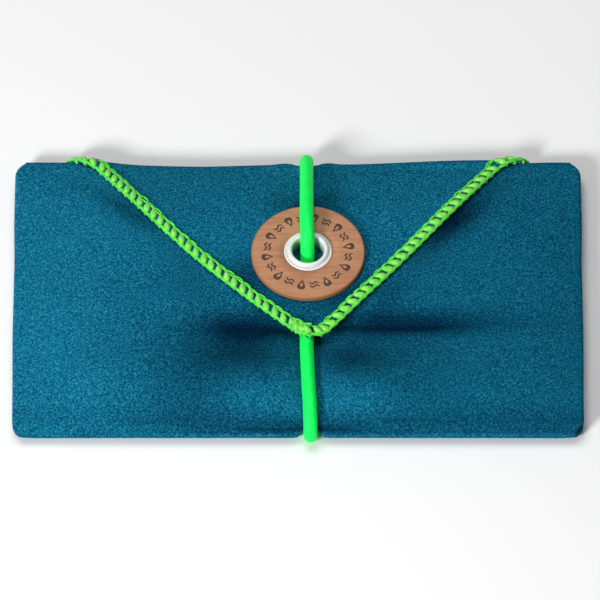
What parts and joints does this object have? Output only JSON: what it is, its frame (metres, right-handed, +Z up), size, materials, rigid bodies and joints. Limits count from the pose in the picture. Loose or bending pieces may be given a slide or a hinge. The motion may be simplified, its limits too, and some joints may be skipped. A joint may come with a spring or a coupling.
{
  "type": "folded travel towel",
  "caption": "Quick-dry travel towel folded into a flat pack, closed by a pointed flap with a wooden disc and an elastic cord through an eyelet.",
  "frame": {"origin": "on the surface that the pack lies on, under the middle of its bounding box", "axes": "+X along the pack's long side, +Y towards the fold that the flap turns over, +Z up out of the pack's front"},
  "size_m": [0.17, 0.1029, 0.0194],
  "materials": {
    "towel_cloth": "suede microfibre, petrol blue",
    "edge_thread": "overlock thread, two greens",
    "disc_wood": "oiled beech with burnt marks",
    "eyelet_enamel": "white enamel",
    "elastic_sheath": "braided neon green sheath"
  },
  "bodies": {
    "pack": {"back_panel": "towel_cloth", "left_wing": "towel_cloth", "right_wing": "towel_cloth", "inner_panel": "towel_cloth", "tail_panel": "towel_cloth", "front_panel": "towel_cloth", "back_overlock_left": "edge_thread", "back_overlock_right": "edge_thread"},
    "flap": {"flap": "towel_cloth", "flap_overlock_left": "edge_thread", "flap_overlock_right": "edge_thread", "disc": "disc_wood", "eyelet": "eyelet_enamel", "eyelet_washer": "eyelet_enamel", "cord_lower": "elastic_sheath"},
    "loop_front": {"cord_upper": "elastic_sheath"},
    "loop_far": {"cord_back": "elastic_sheath", "cord_knot": "elastic_sheath"},
    "loop_end": {"cord_return": "elastic_sheath"}
  },
  "joints": [
    {"name": "flap_fold", "type": "hinge", "parent": "pack", "child": "flap", "pos_m": [0, 0.0503, 0.005], "axis": [-1, 0, 0], "range_deg": [0, 165], "deforming": ["cord_lower"]},
    {"name": "loop_swing", "type": "hinge", "parent": "flap", "child": "loop_front", "pos_m": [0.0028, 0.0106, 0.0142], "axis": [0, 0.07, 0.9975], "range_deg": [0, 172], "deforming": ["cord_upper"]},
    {"name": "loop_peel", "type": "hinge", "parent": "loop_front", "child": "loop_far", "pos_m": [0.0026, 0.046, 0.0057], "axis": [1, 0, 0], "range_deg": [0, 168], "deforming": ["cord_back", "cord_knot"]},
    {"name": "loop_unhook", "type": "hinge", "parent": "flap", "child": "loop_end", "pos_m": [0.0036, -0.046, 0.006], "axis": [-0.9816, 0.1908, 0], "range_deg": [0, 178], "deforming": ["cord_return"]}
  ],
  "couplings": [
    {"joint": "loop_swing", "follows": "flap_fold", "ratio": 1.0424},
    {"joint": "loop_peel", "follows": "flap_fold", "ratio": 1.018},
    {"joint": "loop_unhook", "follows": "flap_fold", "ratio": 1.0787}
  ]
}
